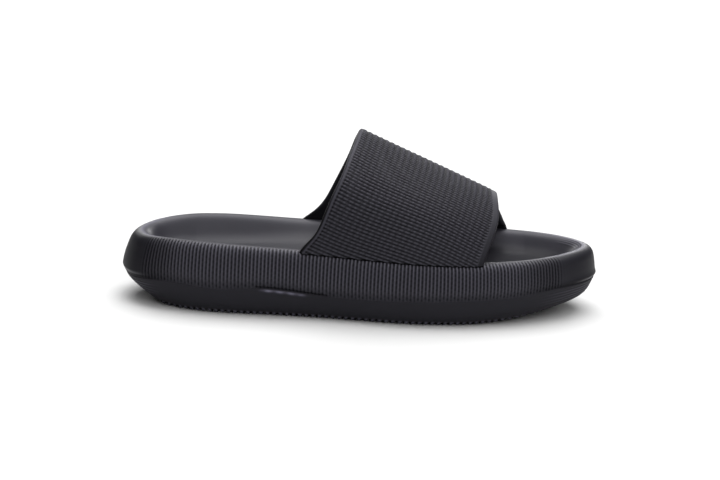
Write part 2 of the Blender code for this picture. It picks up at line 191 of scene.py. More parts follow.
def on_line(reach):
    """Points of the widest line and their inward directions, by the distance round it."""
    step = GIRTH / len(LINE)
    here, ahead, behind = (
        np.column_stack([np.interp(np.asarray(r) % GIRTH, REACH, LINE[:, k]) for k in (0, 1)])
        for r in (reach, reach + step, reach - step)
    )
    way = ahead - behind
    way /= np.linalg.norm(way, axis=1)[:, None]
    return here, np.column_stack([-way[:, 1], way[:, 0]])


def ground(along):
    """Height of the tread: flat, with the toe sprung and the heel's back lifted."""
    toe = np.maximum(0.0, (along - TOE_ZONE) / (1.0 - TOE_ZONE))
    heel = np.maximum(0.0, (HEEL_LIFT_SHARE - along) / HEEL_LIFT_SHARE)
    return TOE_SPRING * toe**1.5 + HEEL_LIFT * heel**2


def wall_ring(row, reach):
    """A wall level's points, by the distance round the sole."""
    here, inward = on_line(reach)
    along = share_of(here[:, 0])
    heel, toe = eased(1.0 - along / HEEL_ZONE), eased((along - TOE_ZONE) / (1.0 - TOE_ZONE))
    inset = row.side + (row.heel - row.side) * heel + (row.toe - row.side) * toe
    low, high = ground(along), SEAM_HEIGHT * through(HEIGHTS, "seam", along)
    if row.above:
        low, high = high, RIM_HEIGHT * through(HEIGHTS, "rim", along)
    return np.column_stack([here + inward * inset[:, None], low + row.share * (high - low)])


def skin_through(levels, knots, samples):
    """A smooth skin through rings of points, at a measure up their profile."""
    skin = spline(np.reshape(levels, (len(levels), -1)), knots)(samples)
    return skin.reshape(len(samples), -1, 3)


def spine_under(ring):
    """The sole's middle line beside each point of a ring, which is where the ring closes in to."""
    middle_x = np.linspace(-0.5, 0.5, 200) * SOLE_LENGTH
    outer = np.interp(middle_x, LINE[: TOE_TIP + 1, 0], LINE[: TOE_TIP + 1, 1])
    inner = np.interp(-middle_x, -LINE[TOE_TIP:, 0], LINE[TOE_TIP:, 1])
    x = np.clip(ring[:, 0], -0.5 * SOLE_LENGTH + SPINE_INSET, 0.5 * SOLE_LENGTH - SPINE_INSET)
    return np.column_stack([x, np.interp(x, middle_x, (outer + inner) / 2)])


END_HOLD = 1.6


def near_ends(reaches, heel_span, toe_span):
    """1 round the heel's back and the toe's tip, fading out at the spans to both sides of them."""
    from_heel = np.minimum(reaches % GIRTH, GIRTH - reaches % GIRTH)
    from_toe = np.abs(reaches % GIRTH - REACH[TOE_TIP])
    heel_end, toe_end = 1.0 - from_heel / heel_span, 1.0 - from_toe / toe_span
    return eased(END_HOLD * heel_end), eased(END_HOLD * toe_end)


WAIST_FADE_IN, WAIST_FADE_OUT = 0.02, 0.03


def at_outer_waist(reaches, start, stop):
    """1 between two shares of the length on the little-toe side, fading inside both."""
    along = share_of(on_line(reaches)[0][:, 0])
    ends = eased((along - start) / WAIST_FADE_IN) * eased((stop - along) / WAIST_FADE_OUT)
    return ends * (reaches < REACH[TOE_TIP])


# The blunt corner that stands out just above the seam, round the heel and round the toe, with
# its foot on the flank: its level up the profile, its spread above and below, and its size
Corner = namedtuple("Corner", "level above below size")
CORNERS = [
    Corner(SEAM + 0.0038, 0.0030, 0.0024, 0.0010),
    Corner(SEAM + 0.0030, 0.0026, 0.0056, 0.0011),
]
CORNER_HEEL, CORNER_TOE = 0.048, 0.050
CORNER_SHARPNESS = 1.3


def end_corner(measure, reaches):
    """How far the blunt corners stand out, at measures up the wall."""
    stand = 0.0
    for corner, end in zip(CORNERS, near_ends(reaches, CORNER_HEEL, CORNER_TOE)):
        away = measure - corner.level
        away = np.abs(away) / np.where(away < 0, corner.below, corner.above)
        stand = stand + corner.size * np.exp(-(away**CORNER_SHARPNESS))[:, None] * end[None, :]
    return stand


def new_band(name, points):
    """A grid primitive wrapped round the shoe through rings of points, each ring closed."""
    rows, columns = points.shape[:2]
    bpy.ops.object.select_all(action="DESELECT")
    bpy.ops.mesh.primitive_grid_add(x_subdivisions=columns, y_subdivisions=rows - 1, size=2.0)
    band = bpy.context.object
    band.name = band.data.name = name
    flat = np.empty(3 * len(band.data.vertices), np.float32)
    band.data.vertices.foreach_get("co", flat)
    column = np.rint((flat[0::3] + 1) / 2 * columns).astype(int) % columns
    row = np.rint((flat[1::3] + 1) / 2 * (rows - 1)).astype(int)
    band.data.vertices.foreach_set("co", points[row, column].astype(np.float32).ravel())
    return band, row, column


def store_tone(piece, tone):
    """Keeps a piece's painted light and shade at each point for its material, from -1 for painted highlights
    on crests to 1 for painted shade in grooves.
    """
    kept = piece.data.attributes.new("painted_light_shade", "FLOAT", "POINT")
    kept.data.foreach_set("value", np.asarray(tone, np.float32).ravel())


def close_up(piece):
    """Joins a band's ends, fills each of its open loops and turns its faces outwards."""
    bpy.ops.object.mode_set(mode="EDIT")
    bpy.ops.mesh.select_all(action="SELECT")
    bpy.ops.mesh.remove_doubles(threshold=0.000002)
    bpy.ops.mesh.fill_holes(sides=0)
    bpy.ops.mesh.select_all(action="SELECT")
    bpy.ops.mesh.normals_make_consistent(inside=False)
    bpy.ops.object.mode_set(mode="OBJECT")
    bpy.ops.object.shade_smooth()


MOTTLE_SCALE, MOTTLE_DETAIL, MOTTLE_RANGE = 55.0, 4.0, (0.3, 0.7)
MOTTLE_LIGHT, MOTTLE_SHINE, MOTTLE_DULL = 0.07, 0.05, 0.07
GRAIN_SCALE, GRAIN_DETAIL, GRAIN_STRENGTH, GRAIN_HEIGHT = 1500.0, 3.0, 0.25, 0.00012
# Share of the gloss left under full painted shade
PAINTED_SHADE_GLOSS = 0.15
COOL_GLOSS = (0.94, 0.93, 1.0, 1.0)


# Its last two arguments set how far painted highlights lighten the colour and how much colour stays under
# full painted shade.
def foam_material(name, colour, roughness, gloss, crest, painted_shade_factor):
    """Matte moulded foam: fine grain and faint mottling, with painted highlights lightening crests and
    painted shade darkening grooves and dulling their gloss.
    """
    material = bpy.data.materials.new(name)
    material.use_nodes = True
    nodes, links = material.node_tree.nodes, material.node_tree.links
    surface = nodes["Principled BSDF"]
    surface.inputs["Specular Tint"].default_value = COOL_GLOSS
    place = nodes.new("ShaderNodeTexCoord")
    painted_tone = nodes.new("ShaderNodeAttribute")
    painted_tone.attribute_name = "painted_light_shade"

    def noise(scale, detail):
        texture = nodes.new("ShaderNodeTexNoise")
        texture.inputs["Scale"].default_value = scale
        texture.inputs["Detail"].default_value = detail
        links.new(place.outputs["Object"], texture.inputs["Vector"])
        return texture.outputs["Fac"]

    def ranged(value, old, new):
        spread = nodes.new("ShaderNodeMapRange")
        spread.inputs["From Min"].default_value, spread.inputs["From Max"].default_value = old
        spread.inputs["To Min"].default_value, spread.inputs["To Max"].default_value = new
        links.new(value, spread.inputs["Value"])
        return spread.outputs["Result"]

    def times(first, second):
        product = nodes.new("ShaderNodeMath")
        product.operation = "MULTIPLY"
        links.new(first, product.inputs[0])
        links.new(second, product.inputs[1])
        return product.outputs["Value"]

    mottle, grain = noise(MOTTLE_SCALE, MOTTLE_DETAIL), noise(GRAIN_SCALE, GRAIN_DETAIL)
    shade = ranged(mottle, MOTTLE_RANGE, (1.0 - MOTTLE_LIGHT, 1.0 + MOTTLE_LIGHT))
    # Painted highlight: where the tone is below 0 the colour is lightened, up to the crest gain
    raised = ranged(painted_tone.outputs["Fac"], (-1.0, 0.0), (crest, 1.0))
    # Painted shade: where the tone is above 0 the colour is darkened
    sunk = ranged(painted_tone.outputs["Fac"], (0.0, 1.0), (1.0, painted_shade_factor))
    tint = nodes.new("ShaderNodeMix")
    tint.data_type = "RGBA"
    tint.clamp_factor = False
    tint.inputs["A"].default_value = (0.0, 0.0, 0.0, 1.0)
    tint.inputs["B"].default_value = (*colour, 1.0)
    links.new(times(shade, times(raised, sunk)), tint.inputs["Factor"])
    links.new(tint.outputs["Result"], surface.inputs["Base Color"])
    # Painted shade also lowers the gloss
    shine = ranged(painted_tone.outputs["Fac"], (0.0, 1.0), (gloss, PAINTED_SHADE_GLOSS * gloss))
    links.new(shine, surface.inputs["Specular IOR Level"])
    dull = ranged(mottle, (0.0, 1.0), (roughness - MOTTLE_SHINE, roughness + MOTTLE_DULL))
    links.new(dull, surface.inputs["Roughness"])
    bump = nodes.new("ShaderNodeBump")
    bump.inputs["Strength"].default_value = GRAIN_STRENGTH
    bump.inputs["Distance"].default_value = GRAIN_HEIGHT
    links.new(grain, bump.inputs["Height"])
    links.new(bump.outputs["Normal"], surface.inputs["Normal"])
    return material


STEPS_FROM, STEP_PITCH, STEP_DEPTH = 0.0068, 0.0019, 0.00035
STEP_MARGIN, STEP_FADE = 0.0012, 0.0008
# The steps get painted highlights on their ridges and painted shade in their creases, more at the heel.
STEP_LIGHT_AND_SHADE, HEEL_STEP_FACTOR, STEP_CUT_OFF = 0.32, 2.2, 0.02
CREASE_DEPTH, CREASE_SPREAD = 0.0005, 0.0006
CREASE_HEEL, CREASE_TOE = 0.045, 0.060
LIP_FROM, LIP_TO, LIP_SIZE = 0.290, 0.400, 0.0011
# The lip under the slit gets a painted highlight.
LIP_DROP, LIP_SPREAD, LIP_TONE = 0.0009, 0.0008, -0.9
LIP_WAVE, LIP_UNEVENNESS = 0.0065, 0.3
GROOVE_PITCH = 0.00373
GROOVE_WIDTH, GROOVE_EDGE = 0.0016, 0.0006
GROOVE_DEPTH, NOTCH_FACTOR = 0.0012, 0.8
GROOVE_WAVE, WAVE_LENGTH = 0.0014, 0.032
# The teeth at the tread's edge get a painted highlight.
TOOTH_HEIGHT, TOOTH_FADE, TOOTH_HIGHLIGHT = 0.0032, 0.0015, -0.7

# Rings close in to this share of the way to the middle line, and the narrow loop left is filled
MIDDLE_SHARE = 0.97
FLANK_ROWS, TREAD_ROWS, OUTSOLE_COLUMNS = 44, 16, 1100


def tread_cut(x, y):
    """How deep the wavy grooves go at a place, from 0 on the lands to 1."""
    sway = GROOVE_WAVE * np.sin(2 * math.pi * y / WAVE_LENGTH)
    away = np.abs((x - sway + GROOVE_PITCH / 2) % GROOVE_PITCH - GROOVE_PITCH / 2)
    return eased(((GROOVE_WIDTH + GROOVE_EDGE) / 2 - away) / GROOVE_EDGE)


reaches = np.arange(OUTSOLE_COLUMNS) / OUTSOLE_COLUMNS * GIRTH
rise = np.linspace(0.0, SEAM, FLANK_ROWS + 1)
flank = skin_through([wall_ring(row, reaches) for row in WALL], PROFILE, rise)
here, inward = on_line(reaches)
along = share_of(here[:, 0])

# The steps, the crease at the seam and the thin lip under the body's slit
heel_end, toe_end = near_ends(reaches, CREASE_HEEL, CREASE_TOE)
ends = np.maximum(heel_end, toe_end)
steps = 0.5 + 0.5 * np.cos(2 * math.pi * (rise - STEPS_FROM) / STEP_PITCH)
steps *= eased((rise - STEPS_FROM + STEP_MARGIN) / STEP_FADE) * eased((SEAM - STEP_MARGIN - rise) / STEP_FADE)
crease = stripe(rise, SEAM, CREASE_SPREAD)
uneven = 1.0 - LIP_UNEVENNESS + LIP_UNEVENNESS * np.sin(2 * math.pi * along * SOLE_LENGTH / LIP_WAVE)
lip_round = at_outer_waist(reaches, LIP_FROM, LIP_TO) * uneven
lip = stripe(rise, SEAM - LIP_DROP, LIP_SPREAD)[:, None] * lip_round[None, :]
dent = (STEP_DEPTH * steps + CREASE_DEPTH * crease)[:, None] * ends[None, :] - LIP_SIZE * lip
flank[..., :2] += inward[None] * (dent - end_corner(rise, reaches))[..., None]

# The tread, in rings that close in to the middle line, and its grooves
spine = spine_under(flank[0])
closing = []
for share in np.linspace(MIDDLE_SHARE, 0.0, TREAD_ROWS + 1)[:-1]:
    plan = flank[0][:, :2] + (spine - flank[0][:, :2]) * share
    closing.append(np.column_stack([plan, ground(share_of(plan[:, 0]))]))
rings = np.concatenate([np.array(closing), flank])
cut = tread_cut(rings[..., 0], rings[..., 1])
above = rings[..., 2] - ground(share_of(rings[..., 0]))
notch = GROOVE_DEPTH * cut * (1.0 - eased((above - GROOVE_DEPTH) / (TOOTH_HEIGHT - GROOVE_DEPTH)))
sunk = np.maximum(0.0, notch - above)
rings[..., 2] += sunk
rings[TREAD_ROWS:, :, :2] += NOTCH_FACTOR * inward[None] * (notch - sunk)[TREAD_ROWS:, :, None]

# Painted light and shade on the tread: painted shade in the grooves and the steps' creases, painted
# highlights on the steps' ridges, the lip and the teeth
tone = np.minimum(1.0, notch / GROOVE_DEPTH)
tooth = eased((TOOTH_HEIGHT - above) / TOOTH_FADE) * (1.0 - cut)
stepped = (2.0 * steps - 1.0) * (steps > STEP_CUT_OFF)
tone[TREAD_ROWS:] += STEP_LIGHT_AND_SHADE * stepped[:, None] * (toe_end + HEEL_STEP_FACTOR * heel_end)[None, :]
tone[TREAD_ROWS:] += LIP_TONE * lip + TOOTH_HIGHLIGHT * tooth[TREAD_ROWS:]

outsole, row, column = new_band("outsole_tread", rings)
store_tone(outsole, tone[row, column])
close_up(outsole)
# The tread's colour is darker than the body's as painted shade for the flank, which rolls under.
outsole.data.materials.append(foam_material(
    "outsole_foam", (0.0100, 0.0096, 0.0128), roughness=0.62, gloss=0.20, crest=12.0, painted_shade_factor=0.1))
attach(outsole, "root")
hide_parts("outsole")

# Midsole
# The thick body, moulded from soft foam in one piece with the cupped footbed. Upright beaded
# ribs run round both sides and stop before the smooth heel and toe, under a plain round rim. A
# short slit lies under the ribs at the outer waist, and fine lines run inside the toe's rim.
BED_HEIGHT = 0.0265
ARCH_RISE, ARCH_PLACE, ARCH_SPREAD = 0.004, 0.40, 0.13
ARCH_FROM, ARCH_WIDTH = 0.1, 0.36
RIB_PITCH = 0.0021
RIB_DEPTH = 0.0006
RIBS_FROM, RIBS_TO, RIBS_FADING = 0.040, 0.930, 4
RIB_PHASES = (0.0, 0.16, 0.33, 0.5, 0.67, 0.84)
PLAIN_SPACING = 0.0010

# How the cup falls from the rim to the bed: distances inwards and shares of the usual drop
CUP = [(0.0025, 0.07), (0.0055, 0.33), (0.0090, 0.70), (0.0130, 0.91), (0.0180, 1.00)]
USUAL_DROP = 0.013
LINE_SPACING, LINE_DEPTH, LINE_ROWS = 0.0016, 0.00014, 10
FOOT_BAND, FOOT_ROWS, WALL_ROWS, CUP_ROWS, BED_ROWS = 0.0030, 7, 24, 10, 9


def footbed(x, y):
    """Height of the footbed, with the inner arch raised."""
    along = share_of(x)
    hill = stripe(along, ARCH_PLACE, ARCH_SPREAD) * eased(y / (ARCH_WIDTH * BALL_WIDTH) + ARCH_FROM)
    return BED_HEIGHT * through(HEIGHTS, "bed", along) + ARCH_RISE * hill


def reach_at(along, lateral):
    """The distance round the widest line to a share of the length, on one side."""
    x = (np.asarray(along) - 0.5) * SOLE_LENGTH
    if lateral:
        return np.interp(x, LINE[: TOE_TIP + 1, 0], REACH[: TOE_TIP + 1])
    return np.interp(-x, -LINE[TOE_TIP:, 0], REACH[TOE_TIP:])


def rib_columns():
    """Where the body's columns stand: six to a rib, and wider ones round the plain heel and toe.

    With each go how deep the groove between the ribs is, how far the ribs are faded in, and
    the rib's number.
    """
    columns = []
    for lateral in (True, False):
        start, stop = sorted(float(reach_at(along, lateral)) for along in (RIBS_FROM, RIBS_TO))
        count = round((stop - start) / RIB_PITCH)
        for k in range(count):
            for phase in RIB_PHASES:
                place = k + phase
                fade = eased(min(place, count - place) / RIBS_FADING)
                reach = start + (stop - start) * place / count
                columns.append((reach, fade * math.sin(math.pi * phase) ** 2, fade, k))
        beyond = reach_at(RIBS_TO, False) if lateral else GIRTH + reach_at(RIBS_FROM, True)
        plain = round((beyond - stop) / PLAIN_SPACING)
        columns += [(stop + (beyond - stop) * k / plain, 0.0, 0.0, 0) for k in range(plain)]
    return np.array(columns).T


reaches, ribbing, ribs, rib_number = rib_columns()
levels = [wall_ring(row, reaches) for row in WALL]
crest = levels[-1]
spine = spine_under(crest)
way = spine - crest[:, :2]
room = np.linalg.norm(way, axis=1)
way /= room[:, None]
for inset, drop in CUP:
    plan = crest[:, :2] + way * inset
    fall = drop * (crest[:, 2] - footbed(plan[:, 0], plan[:, 1]))
    levels.append(np.column_stack([plan, crest[:, 2] - fall]))
rib_head, rim = WALL[-2:]
over_rim = [(rib_head.side, typical_height(rib_head)), (rim.side, typical_height(rim))]
over_rim += [(rim.side + inset, typical_height(rim) - drop * USUAL_DROP) for inset, drop in CUP]
knots = np.concatenate([PROFILE[:-2], PROFILE[-2] + lengths_along(np.array(over_rim))])
samples = np.concatenate([
    np.linspace(SEAM, SEAM + FOOT_BAND, FOOT_ROWS + 1)[:-1],
    np.linspace(SEAM + FOOT_BAND, CREST, WALL_ROWS + 1)[:-1],
    CREST + 0.5 * LINE_SPACING * np.arange(LINE_ROWS),
    np.linspace(CREST + 0.5 * LINE_SPACING * LINE_ROWS, knots[-1], CUP_ROWS + 1),
])
bed = []
for share in np.linspace(0.0, MIDDLE_SHARE, BED_ROWS + 1)[1:]:
    inset = CUP[-1][0] + (room - CUP[-1][0]) * share
    plan = crest[:, :2] + way * inset[:, None]
    bed.append(np.column_stack([plan, footbed(plan[:, 0], plan[:, 1])]))
rings = np.concatenate([skin_through(levels, knots, samples), np.array(bed)])

# The ribs, the slit, the crease at the seam, the corners and the fine lines inside the toe's rim
RIB_FOOT, RIB_FOOT_FADE = 0.0002, 0.0016
RIB_HEAD, RIB_HEAD_FADE = 0.0010, 0.0018
SLIT_FROM, SLIT_TO, SLIT_DEPTH = 0.277, 0.449, 0.0009
SLIT_RISE, SLIT_SPREAD = 0.0008, 0.0005
LINES_FADE, LINES_WIDTH, LINES_SPAN = 0.0012, 0.0070, 0.034

wall = slice(0, len(samples))
up = samples[:, None] - SEAM
past_crest = samples[:, None] - CREST
below_head = eased((-RIB_HEAD - past_crest) / RIB_HEAD_FADE)
upright = eased((up + RIB_FOOT) / RIB_FOOT_FADE) * below_head
slit = stripe(up, SLIT_RISE, SLIT_SPREAD) * at_outer_waist(reaches, SLIT_FROM, SLIT_TO)[None, :]
crease = stripe(up, 0.0, CREASE_SPREAD) * np.maximum(*near_ends(reaches, CREASE_HEEL, CREASE_TOE))[None, :]
lines = np.cos(2 * math.pi * past_crest / LINE_SPACING) * eased(past_crest / LINES_FADE)
lines = lines * (past_crest < LINES_WIDTH) * near_ends(reaches, LINES_SPAN, LINES_SPAN)[1][None, :]
dent = RIB_DEPTH * upright * ribbing[None, :] + SLIT_DEPTH * slit + CREASE_DEPTH * crease
dent += LINE_DEPTH * lines - end_corner(samples, reaches)
rings[wall, :, :2] += on_line(reaches)[1][None] * dent[..., None]

# Painted light and shade on the body, above 0 for painted shade and below 0 for painted highlights:
# highlights on the rib crests, round the rim at the heel and the toe and under the corners; shade in the rib
# grooves, at the wall's foot, on the plain heel and toe, along the rim at the sides, in the cup and on the
# bed, in the slit and the crease; light and shade along the fine lines inside the toe's rim
BEAD_PITCH, BEAD_SHIFT, BEAD_TONE = 0.0029, 2.4, 0.22
RIB_HIGHLIGHT_SHARE, RIB_FOOT_TONE, RIB_TONE_RISE = 0.34, 0.45, 0.010
FOOT_TONE, FOOT_RISE = 0.4, 0.0055
PLAIN_HEEL_SPAN, PLAIN_TOE_SPAN = 0.060, 0.075
PLAIN_HEEL_SHADE, PLAIN_TOE_SHADE = 0.90, 0.70
SIDE_RIM_SHADE, HEEL_RIM_HIGHLIGHT, TOE_RIM_HIGHLIGHT, RIM_SPREAD = 0.20, 0.80, 0.64, 0.0013
CUP_TONE_FROM, CUP_TONE_FADE = 0.0070, 0.011
DEEP_TONE_FROM, DEEP_TONE_FADE = 0.0095, 0.0060
BED_TONE, TOE_BED_TONE, DEEP_TOE_TONE = 0.50, 0.64, 0.22
TOE_BED_FROM, TOE_BED_FADE = 0.60, 0.15
SLIT_SHADE, CREASE_SHADE, LINE_TONE = 0.7, 0.6, 0.60
CORNER_HIGHLIGHT, CORNER_LIGHT_DROP, CORNER_LIGHT_SPREAD = 1.3, 0.0013, 0.0007
LIT_HEEL, LIT_TOE = 0.042, 0.032

tone = np.zeros(rings.shape[:2])
# Painted highlights on the ribs' crests and painted shade in the grooves between them, weaker at the ribs'
# foot
strength = RIB_FOOT_TONE + (1.0 - RIB_FOOT_TONE) * eased(up / RIB_TONE_RISE)
tone[wall] = upright * (2.0 * ribbing - ribs)[None, :] * strength
# The beads across the ribs are painted light and shade only, with no relief
beads = np.cos(2 * math.pi * samples[:, None] / BEAD_PITCH + BEAD_SHIFT * rib_number[None, :])
tone[wall] += BEAD_TONE * upright * beads * ribs[None, :]
tone = np.where(tone < 0.0, RIB_HIGHLIGHT_SHARE * tone, tone)
# Painted shade over the wall's lowest few millimetres, above the seam
tone[wall] += FOOT_TONE * (1.0 - eased(up / FOOT_RISE))
# Painted shade on the plain heel and toe ends
heel_end, toe_end = near_ends(reaches, PLAIN_HEEL_SPAN, PLAIN_TOE_SPAN)
tone[wall] += below_head * (PLAIN_HEEL_SHADE * heel_end + PLAIN_TOE_SHADE * toe_end)[None, :]
# Painted highlight along the rim's crest round the heel and the toe, and painted shade along it at the sides
light = np.maximum(HEEL_RIM_HIGHLIGHT * heel_end, TOE_RIM_HIGHLIGHT * toe_end) - SIDE_RIM_SHADE
tone[wall] -= stripe(past_crest, 0.0, RIM_SPREAD) * light[None, :]
# Painted shade in the cup and on the bed, deeper towards the toe, where the strap shades it
in_cup, deep = (
    np.concatenate([eased((past_crest - start) / fade), np.ones((BED_ROWS, 1))])
    for start, fade in ((CUP_TONE_FROM, CUP_TONE_FADE), (DEEP_TONE_FROM, DEEP_TONE_FADE))
)
at_toe = eased((share_of(rings[..., 0]) - TOE_BED_FROM) / TOE_BED_FADE)
tone += (BED_TONE + (TOE_BED_TONE - BED_TONE + DEEP_TOE_TONE * deep) * at_toe) * in_cup
# Painted shade in the slit and the crease, and painted light and shade along the fine lines inside the toe's
# rim
tone[wall] += SLIT_SHADE * slit + CREASE_SHADE * crease + LINE_TONE * lines
# Painted highlight in a band just under each corner round the heel and the toe
for corner, end in zip(CORNERS, near_ends(reaches, LIT_HEEL, LIT_TOE)):
    level = corner.level - CORNER_LIGHT_DROP
    tone[wall] -= CORNER_HIGHLIGHT * stripe(samples, level, CORNER_LIGHT_SPREAD)[:, None] * end[None, :]

midsole, row, column = new_band("midsole_body", rings)
store_tone(midsole, tone[row, column])
close_up(midsole)
midsole.data.materials.append(foam_material(
    "midsole_foam", (0.0212, 0.0205, 0.0264), roughness=0.47, gloss=0.25, crest=5.0, painted_shade_factor=0.30))
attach(midsole, "root")
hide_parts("midsole")

# Strap
# One wide arch of the same foam, bonded to the rim at both feet. Its outside is moulded like a
# coarse weave, with fine ribs that run from back to front and threads across them, between a
# plain rolled lip at the back and a plain hem at the front. Its inside is smooth.
STRAP_HEIGHT = 0.1028
STRAP_FRONT_HEIGHT = 0.0668
STRAP_WALL = 0.0050
RIDGE_OFFSET = 0.0030
PIECE_GAP = 0.0003

# Where the rear and the front edge stand on the rim and cross the ridge, in shares of the length
StrapRow = namedtuple("StrapRow", "lateral medial ridge")
REAR_EDGE = StrapRow(0.374, 0.372, 0.490)
FRONT_EDGE = StrapRow(0.759, 0.823, 0.787)

# The arch from a foot up to the ridge: the height's share, the half width's share at the rear
# and front edges, and how far each side of the rear edge and the front edge has run forward
ArchRow = namedtuple("ArchRow", "height rear front lateral medial ahead")
ARCH = [
    ArchRow(0.00, 1.000, 1.000, 0.00, 0.00, 0.00),
    ArchRow(0.07, 1.004, 0.984, 0.10, 0.16, 0.07),
    ArchRow(0.16, 1.012, 0.955, 0.24, 0.33, 0.17),
    ArchRow(0.36, 1.012, 0.865, 0.42, 0.55, 0.46),
    ArchRow(0.54, 0.965, 0.755, 0.56, 0.71, 0.74),
    ArchRow(0.70, 0.825, 0.625, 0.71, 0.83, 0.95),
    ArchRow(0.84, 0.590, 0.465, 0.83, 0.91, 1.03),
    ArchRow(0.95, 0.295, 0.265, 0.94, 0.98, 1.01),
]
ARCH_POINTS = 500
STRAP_COLUMNS, STRAP_ROWS = 470, 148
RIDGE_COLUMN = STRAP_COLUMNS // 2
FOOT_COLUMNS = STRAP_COLUMNS / 12


def strap_section(share):
    """The outer arch at a share of the way from the rear edge to the front edge, and its seats."""
    def between(rear, front):
        return rear + (front - rear) * share

    ridge_x = (between(REAR_EDGE.ridge, FRONT_EDGE.ridge) - 0.5) * SOLE_LENGTH
    ridge = np.array([ridge_x, RIDGE_OFFSET, between(STRAP_HEIGHT, STRAP_FRONT_HEIGHT)])
    halves, seats = [], []
    for side in ("lateral", "medial"):
        along = between(getattr(REAR_EDGE, side), getattr(FRONT_EDGE, side))
        reach = np.atleast_1d(reach_at(along, side == "lateral"))
        foot, inner = (wall_ring(row, reach)[0] + (0, 0, PIECE_GAP) for row in WALL[-2:])
        seats.append(inner - foot)
        half = []
        for row in ARCH:
            x = foot[0] + (ridge[0] - foot[0]) * between(getattr(row, side), row.ahead)
            y = ridge[1] + (foot[1] - ridge[1]) * between(row.rear, row.front)
            half.append((x, y, foot[2] + (ridge[2] - foot[2]) * row.height))
        halves.append(half)
    points = np.array([*halves[0], ridge, *reversed(halves[1])])
    knots = lengths_along(points)
    arch = spline(points, knots)(np.linspace(0.0, knots[-1], ARCH_POINTS))
    return even(arch, STRAP_COLUMNS + 1), np.array(seats)


arch, seats = (np.array(part) for part in zip(*map(strap_section, np.linspace(0.0, 1.0, STRAP_ROWS + 1))))
normal = np.cross(np.gradient(arch, axis=1), np.gradient(arch, axis=0))
normal /= np.linalg.norm(normal, axis=2)[..., None]
if normal[STRAP_ROWS // 2, RIDGE_COLUMN, 2] < 0:
    normal = -normal
column = np.arange(STRAP_COLUMNS + 1)
from_foot = np.minimum(column, STRAP_COLUMNS - column)
free = eased(from_foot / FOOT_COLUMNS)[None, :, None]
seat = np.where(column[None, :, None] < STRAP_COLUMNS / 2, seats[:, :1], seats[:, 1:])
through_wall = seat * (1 - free) - normal * STRAP_WALL * free

# The weave, laid out by the distance forward and the distance round from the ridge
WEAVE_RELIEF = 0.0008
RIB_SPACING = 0.0021
RIBS_AT_REAR, RIBS_MORE_AHEAD, RIBS_SLANT = 0.976, 0.187, 6.1
THREAD_PITCH = 0.00355
BEADING_AT_FOOT, BEADING_MORE_ON_TOP = 0.22, 0.34
TWILL_ON_RIBS, TWILL_BETWEEN = 0.20, 0.40


def wave(turns):
    """Runs 1, 0, 1 over each turn."""
    return 0.5 + 0.5 * np.cos(2 * math.pi * turns)


def weave_height():
    """The weave's height over the strap's outside, from 0 between the ribs to 1 on them."""
    ridge_way = arch[-1, RIDGE_COLUMN] - arch[0, RIDGE_COLUMN]
    ridge_way /= np.linalg.norm(ridge_way)
    forward = arch @ ridge_way
    forward = forward - forward[0, RIDGE_COLUMN]
    step = np.diff(arch, axis=1)
    across = step - (step @ ridge_way)[..., None] * ridge_way
    around = np.cumsum(np.linalg.norm(across, axis=2), axis=1)
    around = np.concatenate([np.zeros((len(arch), 1)), around], axis=1)
    around = around - around[:, RIDGE_COLUMN : RIDGE_COLUMN + 1]
    ahead = forward / forward[-1, RIDGE_COLUMN]
    rib = around / RIB_SPACING * (RIBS_AT_REAR + RIBS_MORE_AHEAD * ahead) + RIBS_SLANT * ahead
    twill = wave(2 * forward / THREAD_PITCH + np.rint(rib) / 2)
    beading = BEADING_AT_FOOT + BEADING_MORE_ON_TOP * (1.0 - np.abs(around) / np.abs(around).max())
    on_rib = 1.0 - TWILL_ON_RIBS - beading + beading * wave(forward / THREAD_PITCH) + TWILL_ON_RIBS * twill
    return np.maximum(wave(rib) * on_rib, TWILL_BETWEEN * twill * (1.0 - wave(rib)))


HEM_WIDTH, LIP_WIDTH, EDGE_FADE = 0.0044, 0.0018, 0.0006
CORNER_ROUND = 0.0016
EDGE_ROWS, INNER_STEP = 8, 4

height = weave_height()
from_rear = np.cumsum(np.linalg.norm(np.diff(arch, axis=0), axis=2), axis=0)
from_rear = np.concatenate([np.zeros((1, STRAP_COLUMNS + 1)), from_rear])
from_front = from_rear[-1] - from_rear
woven = np.minimum(eased((from_rear - LIP_WIDTH) / EDGE_FADE), eased((from_front - HEM_WIDTH) / EDGE_FADE))
outside = arch + normal * (WEAVE_RELIEF * (height - 0.5) * woven)[..., None]
inside = arch + through_wall
lean = np.clip(1.0 - np.minimum(from_rear, from_front) / CORNER_ROUND, 0.0, 1.0)
round_off = (1.0 - np.sqrt(1.0 - lean**2))[..., None]
corner_way = (inside - outside) * (CORNER_ROUND / STRAP_WALL)
outside = outside + corner_way * round_off
inside = inside - corner_way * round_off
inner_rows = np.concatenate([
    np.arange(EDGE_ROWS),
    np.arange(EDGE_ROWS, STRAP_ROWS - EDGE_ROWS + 1, INNER_STEP),
    np.arange(STRAP_ROWS - EDGE_ROWS + 1, STRAP_ROWS + 1),
])
around_strap = np.concatenate([outside, inside[inner_rows[::-1]]]).transpose(1, 0, 2)

